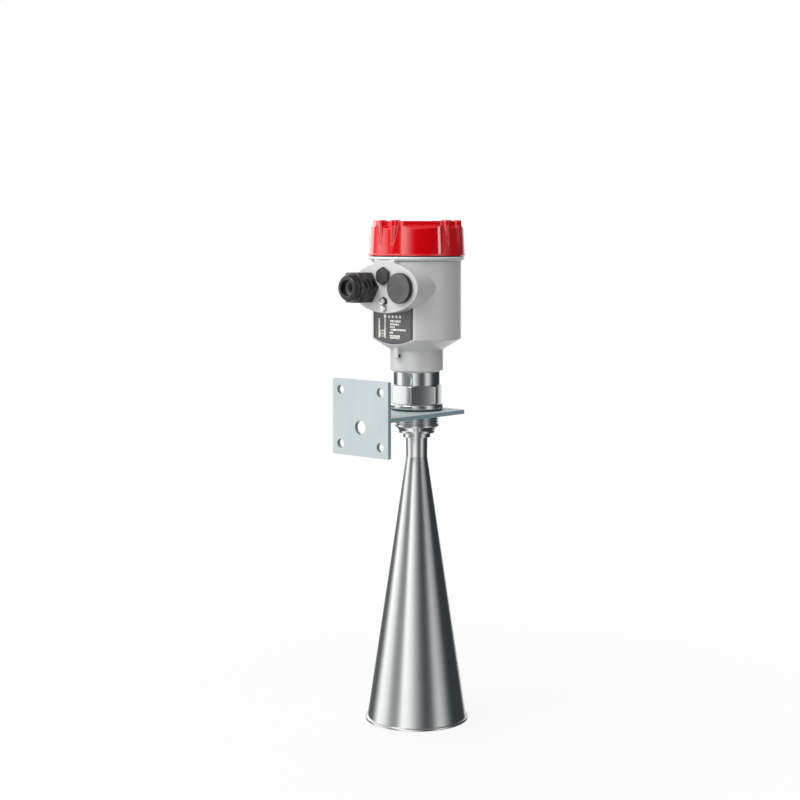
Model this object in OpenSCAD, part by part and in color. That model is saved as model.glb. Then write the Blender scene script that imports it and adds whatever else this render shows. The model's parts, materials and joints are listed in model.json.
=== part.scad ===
// Radar level transmitter with a conical horn antenna, a swivelling cast housing,
// a screwed lid, two cable entries and a wall bracket.
// Millimetres, +Z up. Z = 0 is the top of the bracket's shelf, where the flat seal
// of the process fitting lies, and the Z axis is the axis of the antenna.
// The cable entries and the bracket's wall plate face -Y.

/* [Bracket] */
// Width and height of the wall plate
plate_w = 70; // [64:1:90]
// Thickness of the wall plate
plate_t = 4; // [3:0.5:6]
// Drop of the wall plate's centre below the shelf's top face
plate_drop = 2; // [0:0.5:6]
// Distance from the antenna axis to the outer face of the wall plate
plate_y = 78; // [74:1:100]
// Spacing of the four wall holes, both ways
wall_hole_pitch = 50; // [40:1:52]
// Diameter of the wall holes
wall_hole_d = 8.4; // [6:0.2:10]
// Diameter of the single hole below the shelf
centre_hole_d = 13; // [8:0.5:14]
// Distance of the single hole below the centre of the plate
centre_hole_drop = 8.6; // [8:0.2:16]
// Thickness of the shelf
shelf_t = 4; // [3:0.5:6]
// Reach of the shelf behind the antenna axis
shelf_back = 30; // [27:1:45]
// Corner radius of the plates
corner_r = 2.5; // [1:0.5:5]

/* [Process fitting] */
// Outer diameter of the process thread
thread_d = 41.9; // [38:0.1:43]
// Length of the process thread below the seal
thread_len = 17.2; // [14:0.2:26]
// Thickness of the flat seal
gasket_t = 1.7; // [1:0.1:3]
// Width across the flats of the hexagon
hex_af = 44; // [42:1:48]
// Height of the hexagon
hex_h = 17.4; // [14:0.2:24]
// Height of the round face below the hexagon
face_h = 5; // [3:0.5:8]
// Height of the round ring above the hexagon
ring_h = 12.6; // [8:0.2:16]
// Diameter of the ring above the hexagon
ring_d = 44; // [43:0.5:46]
// Step from the hexagon's flats out to the edge of the round face
face_out = 3; // [2:0.2:5]
// Turn of the hexagon about the axis
hex_turn = -5; // [-30:1:30]
// Diameter of the spigot that the housing turns on
spigot_d = 34; // [30:0.5:36]
// Thickness of the swivel's slide washer
washer_t = 1; // [0.6:0.1:2]

/* [Horn] */
// Outer diameter of the horn's mouth, over its rolled lip
mouth_d = 98.2; // [80:0.2:110]
// Distance from the shelf's top face down to the mouth
mouth_drop = 295; // [240:1:330]
// Wall thickness of the horn
horn_wall = 1.5; // [1.2:0.1:2.5]
// Outer diameter of the horn's throat tube at its top
throat_d = 20.4; // [19:0.2:22]
// Length of the horn's throat tube
throat_len = 18.2; // [12:0.2:26]
// Diameter of the hub above the throat tube
hub_d = 26; // [24:0.5:30]
// Height of the hub
hub_h = 4.3; // [3:0.1:7]

/* [Housing] */
// Diameter of the housing body
body_d = 84; // [82:0.5:90]
// Height of the cylindrical body, up to the flange
body_h = 73.3; // [72:0.5:90]
// Height of the cone below the body
cone_h = 10.4; // [9:0.2:16]
// Diameter of the neck
neck_d = 50; // [46:0.5:56]
// Height of the neck
neck_h = 19.8; // [17:0.2:28]
// Wall thickness of the body
wall = 4.5; // [3.5:0.1:5.5]
// Overhang of the flange beyond the body
flange_out = 3.2; // [2.5:0.1:5]
// Thickness of the flange under the lid
flange_t = 4.6; // [3:0.2:6]
// Depth of the flat that carries the nameplate, cut into the body
flat_in = 8.9; // [7:0.1:9.5]
// Wall behind the nameplate's flat
flat_wall = 3.5; // [2.5:0.1:4]

/* [Cable entries] */
// Distance from the body's front to the face of the entry boss
boss_out = 3.6; // [3:0.1:6]
// Inset of the entry boss's sides from the sides of the body
boss_inset = 0.5; // [0.3:0.1:2]
// Height of the entry boss
boss_h = 47.6; // [46:0.2:48]
// Distance from the flange down to the centre of the entry boss
boss_drop = 24.4; // [24:0.2:28]
// Spacing of the two cable entries
entry_pitch = 44; // [42:0.5:46]
// Diameter of the entry thread
entry_d = 19.8; // [18:0.2:20]
// Width across the flats of the cable gland
gland_af = 28; // [25:0.5:29]
// Largest cable that the gland's seal lets through
cable_d = 9; // [5:0.5:10]
// Diameter of the blanking plug's head
plug_d = 28.4; // [24:0.2:29]
// Projection of the blanking plug from the boss
plug_h = 3.8; // [3:0.1:6]
// Width across the flats of the vent plug
vent_af = 15.2; // [12:0.2:15.6]

/* [Lid] */
// Height of the lid
lid_h = 33.6; // [31:0.2:38]
// Overhang of the lid's grip lobes beyond the body
lid_out = 4.3; // [4:0.1:6]
// Height of the housing's screw collar inside the lid
collar_h = 17.6; // [15:0.2:20]
// Wall thickness of the screw collar
collar_wall = 3.5; // [3:0.1:3.6]
// Depth of the lid's grip bites, from the crown down to the foot of their wall
grip_cut = 4.1; // [3:0.1:6]

/* [Electronics] */
// Gap between the electronics cup and the wall behind the nameplate
cup_gap = 2.2; // [1:0.1:4]
// Depth of the electronics cup
cup_h = 48; // [46:0.5:49]
// Thickness of the circuit boards
board_t = 1.6; // [1:0.1:2.4]
// Width of the terminal block
block_w = 32; // [28:0.5:40]

/* [Hidden] */

$fn = 96;
// Overlap of shapes that are cut or joined
eps = 0.2;
// Radial clearance of running and screwed fits
run = 0.05;
// Radial clearance of pieces that only locate each other
slack = 0.15;

// Heights of the fitting, from the seal up
face_z = gasket_t;
hex_z = face_z + face_h;
ring_z = hex_z + hex_h;
ring_top_z = ring_z + ring_h;
neck_z = ring_top_z + washer_t;
cone_z = neck_z + neck_h;
body_z = cone_z + cone_h;
flange_z = body_z + body_h;
rim_z = flange_z + flange_t;
collar_z = rim_z + collar_h;
face_d = hex_af + 2 * face_out;
hex_chamfer = 1.6;
hex_foot = 0.8;
gasket_in = 1.2;
thread_root = 1.2;
spigot_r = spigot_d / 2;
floor_z = body_z + 2.6;
retainer_gap = 0.1;
retainer_t = 1.5;
retainer_z = floor_z + retainer_gap;
groove_depth = 1.2;
spigot_top_z = retainer_z + retainer_t + 3;
o_ring_section = 2;
o_ring_z = neck_z + neck_h / 2;

// Foot of the fitting and the horn's seat below it
tip_chamfer_h = 4.1;
tip_ring_d = hub_d + 8;
tip_ring_h = 2.1;
foot_z = -(thread_len - gasket_t) - tip_chamfer_h - tip_ring_h;
socket_depth = 9.5;
socket_z = foot_z + socket_depth;
horn_spigot_d = throat_d - 0.4;
tube_wall = 1;
tube_d = 12;
tube_end_z = spigot_top_z + 0.6;
throat_z = foot_z - hub_h;
cone_top_z = throat_z - throat_len;
cone_top_d = throat_d - 0.4;
throat_bore_d = cone_top_d - 2 * horn_wall - 2;
feed_tip_len = 42;
feed_tip_r = 1.2;
feed_stem_len = 12;
feed_point_len = 26;
lip_h = 2.2;
lip_w = 2;
mouth_z = -mouth_drop;
lip_top_z = mouth_z + lip_h;
mouth_wall_d = mouth_d - 2 * lip_w;

// Bracket
shelf_hole_d = thread_d + 0.7;
plate_z = -plate_drop;

// Housing
body_r = body_d / 2;
cavity_r = body_r - wall;
collar_d = 2 * (cavity_r + collar_wall);
flange_d = body_d + 2 * flange_out;
flat_y = body_r - flat_in;
face_y = body_r + boss_out;
boss_w = body_d - 2 * boss_inset;
boss_z = flange_z - boss_drop;
boss_root = 5;
boss_taper = 0.9;
bridge_w = 26;
flange_chamfer = 1.9;
label_margin = 1.3;
label_t = 0.6;
lug_w = 6;
lug_reach = neck_d / 2 + 5;
lug_z = neck_z + neck_h / 2 + 2.6;
lug_h = 10.9;

// Lid
lid_d = body_d + 2 * lid_out;
lid_gap = 0.5;
lid_z = rim_z + lid_gap;
lid_top_z = rim_z + lid_h;
seal_t = 2.2;
seal_in_d = collar_d - 6.6;
seat_z = collar_z + seal_t;
lid_bore_d = collar_d + 2 * run;
crown_z = lid_top_z - 0.8;
lid_turn = 2.8;
skirt_r = lid_d / 2 - 0.7;
crown_r = skirt_r - 1.8;
lobe_r = 3.7;
lobe_orbit = lid_d / 2 - lobe_r;
lobe_half_angle = 10.8;
lobe_foot_r = 1.6;
lobe_fall = 19;
lobe_lean = 6.3;
bite_r = skirt_r - 5.4;
bite_out = 10;
bite_w = 60;
bite_fall = 0.75;
notch_drop = grip_cut + 0.3;
lobe_z = crown_z - notch_drop;
bead_h = 1.6;
bead_out = 0.45;
crown_t = 4.6;
crown_hollow_r = seal_in_d / 2 - 3.2;

// Cable entries, measured outwards from the boss face
gland_seal_t = 1;
gland_hex_top = 8;
gland_thread_top = 18;
gland_cup_top = 21;
gland_nut_gap = 0.3;
gland_nut_hex_h = 12;
gland_dome_h = 7.5;
gland_dome_in = 0.7;
gland_lip = 1.6;
gland_end_d = 14.5;
gland_bore_d = 13;
gland_cup_d = 16;
gland_cup_z = 7;
grommet_h = 12;
thrust_t = 2;
gland_nut_z = gland_hex_top + gland_nut_gap;
gland_dome_z = gland_nut_z + gland_nut_hex_h;
gland_top = gland_dome_z + gland_dome_h;
grommet_z = gland_cup_z;
thrust_z = grommet_z + grommet_h;
thrust_top = thrust_z + thrust_t;
entry_thread = 12;
plug_seal_t = 1;
plug_thread = 11;
plug_wall = 2.4;
plug_edge = 0.6;
vent_dz = 10.8;
vent_h = 3.4;
vent_stem_d = 8;
vent_stem = 6;
membrane_d = 6;
membrane_t = 0.5;

// Earth terminal and bonding screw
ground_dz = 12.6;
bond_dz = 19.3;
ground_head_d = 5.6;
ground_head_h = 3;
clamp_t = 1.2;
clamp_af = 7.4;
clamp_low = 2.95;
bond_head_d = 5.7;
bond_head_h = 2.6;
bond_washer_t = 0.8;
m4_d = 3.9;
small_bore = 0.1;
earth_depth = 6;
screw_depth = 8;

// Lock screw in the neck's lug, measured along X
m3_d = 2.9;
lock_y = neck_d / 2 + 2.4;
lock_z = lug_z + 2.2;
lock_hole = 5.2;
lock_screw_len = 3;
lock_screw_in = 0.4;
lock_pad_t = 1;

// Electronics
cup_wall = 2;
cup_floor_t = 2.5;
cup_rim_t = 2;
cup_d = 2 * (flat_y - flat_wall - cup_gap);
cup_rim_d = 2 * cavity_r - 2;
ear_w = 16;
cup_top_z = floor_z + 7.5 + cup_h;
cup_z = cup_top_z - cup_h;
post_d = 7.2;
post_x = cavity_r - 3.5;
cup_screw_head_d = 5.4;
cup_screw_head_h = 2;
slot_w = 0.8;
slot_depth = 1;
board_screw_head_d = 4.4;
board_screw_head_h = 1.8;
board_screw_len = 5.5;
cup_bore_d = cup_d - 2 * cup_wall;
launcher_d = tube_d;
launcher_z = tube_end_z + 0.4;
pillar_d = 5;
rf_pillar_h = 6;
main_pillar_h = 16;
rf_z = cup_z + cup_floor_t + rf_pillar_h;
main_z = rf_z + board_t + main_pillar_h;
board_d = cup_bore_d - 2;
pillar_orbit = board_d / 2 - 5.5;
board_screw_d = 2.4;
cover_t = 2.5;
cover_d = cup_d + 2;
cover_z = cup_top_z;
block_h = 11;
block_depth = 12;
block_y = 2;
block_z = cover_z + cover_t;
block_ways = 4;
way_pitch = block_w / block_ways;
way_wall = 1.5;
way_floor = 2;
way_h = 4;
way_depth = 9;
way_hole_d = 4.2;
way_head_h = 2.6;
way_sunk = 0.4;
way_shank = 3;
way_shank_d = 2.6;

red = [0.76, 0.02, 0.07];
cast_grey = [0.7, 0.705, 0.715];
steel = [0.8, 0.81, 0.82];
bracket_grey = [0.79, 0.83, 0.85];
black = [0.1, 0.1, 0.11];
dark_grey = [0.38, 0.38, 0.38];
board_green = [0.05, 0.35, 0.2];
brass = [0.78, 0.62, 0.3];
rubber = [0.06, 0.12, 0.11];

module plate2d(w, h, r) {
    hull()
        for (x = [-w / 2 + r, w / 2 - r], y = [-h / 2 + r, h / 2 - r])
            translate([x, y]) circle(r = r, $fn = 32);
}

module ring(d_out, d_in, h) {
    difference() {
        cylinder(d = d_out, h = h);
        translate([0, 0, -eps]) cylinder(d = d_in, h = h + 2 * eps);
    }
}

// Places a piece on the entry boss: its own +Z points outwards, its Y points up
module on_boss(x = 0, up = 0) {
    translate([x, -face_y, boss_z + up]) rotate([90, 0, 0]) children();
}

// A hexagon with its corners turned down to a cone at the top, and at the foot if asked
module turned_hex(af, h, turn = 0, chamfer = 0.9, foot = 0) {
    corner = af / 2 / cos(30);
    intersection() {
        rotate([0, 0, turn]) cylinder(r = corner, h = h, $fn = 6);
        rotate_extrude() polygon([
            [0, 0],
            [corner + eps - 2 * foot, 0],
            [corner + eps, foot],
            [corner + eps, h - chamfer],
            [af / 2 - chamfer / 2, h],
            [0, h],
        ]);
    }
}

// A turned dome: a quarter of an ellipse from the foot's radius in to the top's
module dome(r_foot, r_top, h) {
    rotate_extrude() polygon(concat(
        [[0, -eps], [r_foot, -eps]],
        [for (turn = [0:15:90]) [r_top + (r_foot - r_top) * cos(turn), h * sin(turn)]],
        [[0, h]]
    ));
}

// ---- Bracket and process side ----

module mounting_bracket() {
    shelf_y = plate_y - plate_t;
    color(bracket_grey) difference() {
        union() {
            translate([0, -shelf_y, plate_z]) rotate([90, 0, 0])
                linear_extrude(plate_t) plate2d(plate_w, plate_w, corner_r);
            translate([-plate_w / 2, -shelf_y - eps, -shelf_t])
                cube([plate_w, shelf_y + shelf_back - 2 * corner_r + eps, shelf_t]);
            translate([0, shelf_back - 2 * corner_r, -shelf_t])
                linear_extrude(shelf_t) plate2d(plate_w, 4 * corner_r, corner_r);
        }
        translate([0, 0, -shelf_t - eps]) cylinder(d = shelf_hole_d, h = shelf_t + 2 * eps);
        for (x = [-1, 1], z = [-1, 1])
            translate([x * wall_hole_pitch / 2, -shelf_y + eps, plate_z + z * wall_hole_pitch / 2])
                rotate([90, 0, 0]) cylinder(d = wall_hole_d, h = plate_t + 2 * eps);
        translate([0, -shelf_y, plate_z - centre_hole_drop])
            rotate([90, 0, 0]) cylinder(d = centre_hole_d, h = plate_t + eps);
    }
}

module process_gasket() {
    color(rubber) ring(face_d - gasket_in, shelf_hole_d, gasket_t);
}

module process_fitting() {
    color(steel) difference() {
        union() {
            translate([0, 0, face_z]) cylinder(d = face_d, h = face_h);
            translate([0, 0, hex_z - eps])
                turned_hex(hex_af, hex_h + eps, hex_turn, hex_chamfer, hex_foot);
            translate([0, 0, ring_z - eps]) cylinder(d = ring_d, h = ring_h + eps);
            translate([0, 0, ring_top_z - eps])
                cylinder(d = spigot_d, h = spigot_top_z - ring_top_z + eps);
            translate([0, 0, face_z - thread_len]) cylinder(d = thread_d, h = thread_len + eps);
            translate([0, 0, face_z - thread_len - tip_chamfer_h])
                cylinder(d1 = tip_ring_d, d2 = thread_d - thread_root, h = tip_chamfer_h);
            translate([0, 0, foot_z]) cylinder(d = tip_ring_d, h = tip_ring_h + eps);
        }
        translate([0, 0, foot_z - eps])
            cylinder(d = horn_spigot_d + 2 * run, h = socket_depth + eps);
        translate([0, 0, foot_z])
            cylinder(d = tube_d + 2 * run, h = spigot_top_z - foot_z + eps);
        translate([0, 0, o_ring_z - o_ring_section / 2])
            ring(spigot_d + 2, spigot_d - 2 * o_ring_section - 0.2, o_ring_section);
        translate([0, 0, retainer_z])
            ring(spigot_d + 2, spigot_d - 2 * groove_depth, retainer_t + run);
    }
}

// Outline of the horn, as radius and height, drawn once around
module antenna_horn() {
    wall_in = horn_wall * 1.03;
    color(steel) rotate_extrude() polygon([
        [throat_bore_d / 2, socket_z],
        [horn_spigot_d / 2, socket_z],
        [horn_spigot_d / 2, foot_z],
        [hub_d / 2, foot_z],
        [hub_d / 2, throat_z],
        [throat_d / 2, throat_z],
        [cone_top_d / 2, cone_top_z],
        [mouth_wall_d / 2, lip_top_z],
        [mouth_d / 2 - 0.5, lip_top_z],
        [mouth_d / 2, lip_top_z - 0.5],
        [mouth_d / 2, mouth_z + 0.5],
        [mouth_d / 2 - 0.5, mouth_z],
        [mouth_wall_d / 2 - wall_in + 0.4, mouth_z],
        [mouth_wall_d / 2 - wall_in, mouth_z + 0.4],
        [mouth_wall_d / 2 - wall_in, lip_top_z],
        [throat_bore_d / 2, cone_top_z],
    ]);
}

module feed_cone() {
    bore_r = throat_bore_d / 2 - run;
    stem_r = tube_d / 2 - tube_wall - run;
    color("white") rotate_extrude() polygon([
        [0, cone_top_z - feed_tip_len],
        [feed_tip_r, cone_top_z - feed_tip_len + feed_tip_r],
        [bore_r, cone_top_z],
        [bore_r, socket_z],
        [stem_r, socket_z],
        [stem_r, socket_z + feed_stem_len],
        [feed_tip_r, socket_z + feed_stem_len + feed_point_len],
        [0, socket_z + feed_stem_len + feed_point_len + feed_tip_r],
    ]);
}

module waveguide_tube() {
    color(brass) translate([0, 0, socket_z])
        ring(tube_d, tube_d - 2 * tube_wall, tube_end_z - socket_z);
}

module swivel_washer() {
    color("white") translate([0, 0, ring_top_z])
        ring(ring_d - 1, spigot_d + 2 * slack, washer_t);
}

module swivel_o_ring() {
    section_r = o_ring_section / 2 - run;
    color(rubber) translate([0, 0, o_ring_z])
        rotate_extrude()
            translate([spigot_r - section_r - run, 0]) circle(r = section_r, $fn = 32);
}

module retaining_ring() {
    color(steel) translate([0, 0, retainer_z]) difference() {
        ring(spigot_d + 8, spigot_d - 2 * groove_depth + 2 * run, retainer_t);
        translate([-2, 0, -eps]) cube([4, spigot_d, retainer_t + 2 * eps]);
    }
}

// ---- Housing ----

// Inside of the housing, with a flat wall behind the nameplate
module housing_cavity() {
    difference() {
        translate([0, 0, floor_z]) cylinder(r = cavity_r, h = collar_z - floor_z + eps);
        translate([-body_r, -body_r - flat_y + flat_wall, floor_z - eps])
            cube([body_d, body_r, boss_z - boss_h / 2 + 8 - floor_z]);
        for (side = [-1, 1])
            translate([side * post_x, 0, floor_z - eps])
                cylinder(d = post_d, h = cup_top_z - cup_rim_t - floor_z + eps);
    }
}

module housing() {
    color(cast_grey) difference() {
        union() {
            difference() {
                union() {
                    translate([0, 0, neck_z]) cylinder(d = neck_d, h = neck_h + eps);
                    translate([0, 0, cone_z]) cylinder(d1 = neck_d, d2 = body_d, h = cone_h);
                    translate([0, 0, body_z]) cylinder(d = body_d, h = body_h + eps);
                }
                translate([-body_r, -flat_y - body_r, cone_z - eps])
                    cube([body_d, body_r, boss_z - cone_z - boss_h / 4]);
            }
            translate([0, 0, flange_z]) cylinder(d1 = body_d + 1, d2 = flange_d, h = flange_chamfer);
            translate([0, 0, flange_z + flange_chamfer])
                cylinder(d = flange_d, h = flange_t - flange_chamfer);
            translate([0, 0, rim_z - eps]) cylinder(d = collar_d, h = collar_h + eps);
            on_boss() translate([0, 0, boss_root - face_y]) scale([boss_w / boss_h, 1, 1])
                cylinder(d1 = boss_taper * boss_h, d2 = boss_h, h = face_y - boss_root);
            translate([-bridge_w / 2, -face_y, boss_z])
                cube([bridge_w, face_y - 20, flange_z + flange_chamfer - boss_z]);
            translate([-lug_w / 2, -lug_reach, lug_z])
                cube([lug_w, lug_reach - spigot_r - 3, lug_h]);
        }
        housing_cavity();
        translate([0, 0, neck_z - eps])
            cylinder(d = spigot_d + 2 * run, h = floor_z - neck_z + 2 * eps);
        for (side = [-1, 1]) {
            on_boss(side * entry_pitch / 2) translate([0, 0, -face_y + 14])
                cylinder(d = entry_d + 2 * run, h = face_y);
            translate([side * post_x, 0, cup_top_z - cup_rim_t - screw_depth - 2])
                cylinder(d = m3_d + small_bore, h = screw_depth + 2 + eps);
        }
        on_boss(0, vent_dz) translate([0, 0, -vent_stem - 0.4])
            cylinder(d = vent_stem_d + 2 * run, h = vent_stem + 1);
        on_boss(0, vent_dz) translate([0, 0, -face_y + cavity_r - 8])
            cylinder(d = 4, h = face_y - cavity_r + 4);
        for (dz = [ground_dz, bond_dz])
            on_boss(0, -dz) translate([0, 0, -earth_depth])
                cylinder(d = m4_d + small_bore, h = earth_depth + eps);
        translate([lug_w / 2 - lock_hole, -lock_y, lock_z])
            rotate([0, 90, 0]) cylinder(d = m3_d + small_bore, h = lock_hole + eps);
    }
}

// Plate on the housing's flat: an arc below, and the underside of the boss above
module nameplate() {
    half = sqrt(body_r * body_r - flat_y * flat_y) - label_margin;
    sag = cone_h * (body_r - flat_y) / (body_r - neck_d / 2);
    low = body_z + label_margin;
    taper = 1 - (1 - boss_taper) * (face_y - flat_y) / (face_y - boss_root);
    top = [for (i = [-12:12]) let (x = half * i / 12)
        [x, boss_z - label_margin / 2
            - taper * boss_h / 2 * sqrt(1 - pow(2 * x / boss_w / taper, 2))]];
    bottom = [for (i = [12:-1:-12]) let (x = half * i / 12)
        [x, low - sag * (1 - pow(x / half, 2))]];
    color(dark_grey) translate([0, -flat_y, 0]) rotate([90, 0, 0])
        linear_extrude(label_t) polygon(concat(top, bottom));
}

// ---- Lid ----

module lid_seal() {
    color(rubber) translate([0, 0, collar_z]) ring(collar_d - 0.2, seal_in_d, seal_t);
}

// A bite out of the crown's edge: an upright wall, then a slope out to the skirt
module grip_bite(angle, drop, reach) {
    rotate([0, 0, angle]) rotate([90, 0, -90])
        translate([0, 0, -reach / 2]) linear_extrude(reach) polygon([
            [bite_r, lid_top_z + eps],
            [bite_r, crown_z - drop],
            [bite_r + bite_out, crown_z - drop - bite_fall * bite_out],
            [bite_r + bite_out, lid_top_z + eps],
        ]);
}

module lid() {
    color(red) difference() {
        rotate([0, 0, lid_turn]) union() {
            difference() {
                translate([0, 0, lid_z])
                    cylinder(r1 = skirt_r, r2 = crown_r, h = crown_z - lid_z);
                for (quarter = [0:3]) {
                    grip_bite(90 * quarter + 45, grip_cut, bite_w);
                    grip_bite(90 * quarter, notch_drop, 2 * lobe_orbit * sin(lobe_half_angle));
                }
            }
            translate([0, 0, lid_z]) cylinder(r = skirt_r + bead_out, h = bead_h);
            for (quarter = [0:3], side = [-1, 1])
                rotate([0, 0, 90 * quarter + side * lobe_half_angle])
                    translate([0, -lobe_orbit, lobe_z]) {
                        cylinder(r = lobe_r, h = lid_top_z - lobe_z);
                        rotate([0, side * lobe_lean, 0]) translate([0, 0, -lobe_fall])
                            cylinder(r1 = lobe_foot_r, r2 = lobe_r - 0.1, h = lobe_fall + 0.5);
                    }
        }
        translate([0, 0, lid_z - eps]) cylinder(d = lid_bore_d, h = seat_z - lid_z + eps);
        translate([0, 0, seat_z - eps])
            cylinder(r = crown_hollow_r, h = crown_z - crown_t - seat_z + eps);
    }
}

// ---- Cable gland, plug and vent ----

module at_gland() {
    on_boss(-entry_pitch / 2) children();
}

module gland_base_seal() {
    color(rubber) at_gland() ring(gland_af - 1.6, entry_d + 0.4, gland_seal_t);
}

module gland_body() {
    color(black) at_gland() difference() {
        union() {
            translate([0, 0, -entry_thread]) cylinder(d = entry_d, h = entry_thread + gland_seal_t + eps);
            translate([0, 0, gland_seal_t]) turned_hex(gland_af, gland_hex_top - gland_seal_t);
            cylinder(d = entry_d, h = gland_thread_top);
        }
        translate([0, 0, -entry_thread - eps]) cylinder(d = gland_bore_d, h = 2 * gland_top);
        translate([0, 0, gland_cup_z]) cylinder(d = gland_cup_d, h = gland_top);
    }
}

module gland_seal() {
    color([0.5, 0.5, 0.5]) at_gland() translate([0, 0, grommet_z])
        ring(gland_cup_d - 2 * slack, cable_d, grommet_h);
}

module gland_thrust_ring() {
    color([0.55, 0.55, 0.55]) at_gland() translate([0, 0, thrust_z])
        ring(gland_cup_d - 2 * slack, cable_d + 1.4, thrust_t);
}

module gland_nut() {
    color(black) at_gland() difference() {
        union() {
            translate([0, 0, gland_nut_z]) turned_hex(gland_af, gland_nut_hex_h);
            translate([0, 0, gland_dome_z])
                dome(gland_af / 2 - gland_dome_in, gland_end_d / 2 + gland_lip, gland_dome_h);
        }
        translate([0, 0, gland_nut_z - eps])
            cylinder(d = entry_d + 2 * run, h = thrust_top - gland_nut_z + eps);
        cylinder(d = gland_end_d, h = gland_top + eps);
    }
}

module at_plug() {
    on_boss(entry_pitch / 2) children();
}

module plug_seal() {
    color(rubber) at_plug() ring(plug_d - 1.2, entry_d + 0.4, plug_seal_t);
}

module blanking_plug() {
    color(dark_grey) at_plug() difference() {
        union() {
            translate([0, 0, plug_seal_t])
                cylinder(d = plug_d, h = plug_h - plug_seal_t - plug_edge);
            translate([0, 0, plug_h - plug_edge])
                cylinder(d1 = plug_d, d2 = plug_d - 2 * plug_edge, h = plug_edge);
            translate([0, 0, -plug_thread]) cylinder(d = entry_d, h = plug_thread + plug_seal_t + eps);
        }
        translate([0, 0, -plug_thread - eps])
            cylinder(d = entry_d - 2 * plug_wall, h = plug_thread + eps);
    }
}

module vent_plug() {
    color([0.28, 0.28, 0.28]) on_boss(0, vent_dz) difference() {
        union() {
            turned_hex(vent_af, vent_h, 30, 0.8);
            translate([0, 0, -vent_stem]) cylinder(d = vent_stem_d, h = vent_stem + eps);
        }
        translate([0, 0, -vent_stem - eps]) cylinder(d = 3, h = vent_stem + vent_h - 1);
        translate([0, 0, -vent_stem - eps]) cylinder(d = membrane_d + 2 * run, h = 2 + eps);
    }
}

module vent_membrane() {
    color("white") on_boss(0, vent_dz) translate([0, 0, -vent_stem + 2 - membrane_t])
        cylinder(d = membrane_d, h = membrane_t);
}

// ---- Earth terminal, bonding screw and lock screw ----

module ground_clamp() {
    color(steel) on_boss(0, -ground_dz) difference() {
        rotate([0, 0, 30]) cylinder(d = clamp_af / cos(30), h = clamp_t, $fn = 6);
        translate([0, 0, -eps]) cylinder(d = m4_d + 2 * slack, h = clamp_t + 2 * eps);
        translate([-clamp_af, -clamp_af - clamp_low, -eps])
            cube([2 * clamp_af, clamp_af, clamp_t + 2 * eps]);
    }
}

module ground_screw() {
    color(steel) on_boss(0, -ground_dz) difference() {
        union() {
            translate([0, 0, clamp_t]) cylinder(d = ground_head_d, h = ground_head_h);
            translate([0, 0, clamp_t - earth_depth]) cylinder(d = m4_d, h = earth_depth + eps);
        }
        translate([0, 0, clamp_t + ground_head_h - 2]) cylinder(d = 3 / cos(30), h = 2 + eps, $fn = 6);
    }
}

module bond_washer() {
    color(steel) on_boss(0, -bond_dz) ring(bond_head_d, m4_d + 2 * slack, bond_washer_t);
}

module bond_screw() {
    color(steel) on_boss(0, -bond_dz) difference() {
        union() {
            translate([0, 0, bond_washer_t]) cylinder(d = bond_head_d, h = bond_head_h);
            translate([0, 0, bond_washer_t - earth_depth])
                cylinder(d = m4_d, h = earth_depth + eps);
        }
        translate([-bond_head_d, -0.5, bond_washer_t + bond_head_h - 1.2])
            cube([2 * bond_head_d, 1, 1.2 + eps]);
    }
}

// Places a piece in the lug's cross hole: its own +Z points along +X, from the screw's inner end
module at_lock() {
    translate([lug_w / 2 - lock_screw_in - lock_screw_len, -lock_y, lock_z])
        rotate([0, 90, 0]) children();
}

module lock_pad() {
    color(brass) at_lock() translate([0, 0, -lock_pad_t]) cylinder(d = m3_d, h = lock_pad_t);
}

module lock_screw() {
    color([0.3, 0.3, 0.3]) at_lock() difference() {
        cylinder(d = m3_d, h = lock_screw_len);
        translate([0, 0, lock_screw_len - 1.5]) cylinder(d = 1.5 / cos(30), h = 1.5 + eps, $fn = 6);
    }
}

// ---- Electronics ----

module four_around(orbit) {
    for (i = [0:3])
        rotate([0, 0, 45 + 90 * i]) translate([orbit, 0, 0]) children();
}

module electronics_cup() {
    color(black) difference() {
        union() {
            translate([0, 0, cup_z]) cylinder(d = cup_d, h = cup_h);
            translate([0, 0, cup_top_z - cup_rim_t]) intersection() {
                cylinder(d = cup_rim_d, h = cup_rim_t);
                translate([-cup_rim_d / 2, -ear_w / 2, 0]) cube([cup_rim_d, ear_w, cup_rim_t]);
            }
        }
        translate([0, 0, cup_z + cup_floor_t]) cylinder(d = cup_bore_d, h = cup_h);
        translate([0, 0, cup_z - eps])
            cylinder(d = launcher_d + 1, h = cup_floor_t + 2 * eps);
        for (side = [-1, 1])
            translate([side * post_x, 0, cup_top_z - cup_rim_t - eps])
                cylinder(d = m3_d + 2 * slack, h = cup_rim_t + 2 * eps);
    }
}

module cup_screws() {
    color(steel) for (side = [-1, 1])
        translate([side * post_x, 0, cup_top_z]) difference() {
            union() {
                cylinder(d = cup_screw_head_d, h = cup_screw_head_h);
                translate([0, 0, -screw_depth]) cylinder(d = m3_d, h = screw_depth + eps);
            }
            translate([-cup_screw_head_d, -slot_w / 2, cup_screw_head_h - slot_depth])
                cube([2 * cup_screw_head_d, slot_w, slot_depth + eps]);
        }
}

module rf_launcher() {
    color(brass) translate([0, 0, launcher_z])
        ring(launcher_d, launcher_d - 2 * tube_wall, rf_z - launcher_z);
}

module board(z) {
    color(board_green) translate([0, 0, z]) difference() {
        cylinder(d = board_d, h = board_t);
        four_around(pillar_orbit) translate([0, 0, -eps])
            cylinder(d = board_screw_d + 2 * slack, h = board_t + 2 * eps);
    }
}

module rf_board() {
    board(rf_z);
}

module main_board() {
    board(main_z);
}

module pillars(z, h) {
    color(brass) four_around(pillar_orbit) translate([0, 0, z]) difference() {
        cylinder(d = pillar_d, h = h);
        translate([0, 0, h - 5]) cylinder(d = board_screw_d + small_bore, h = 5 + eps);
    }
}

module lower_pillars() {
    pillars(cup_z + cup_floor_t, rf_pillar_h);
}

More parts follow.
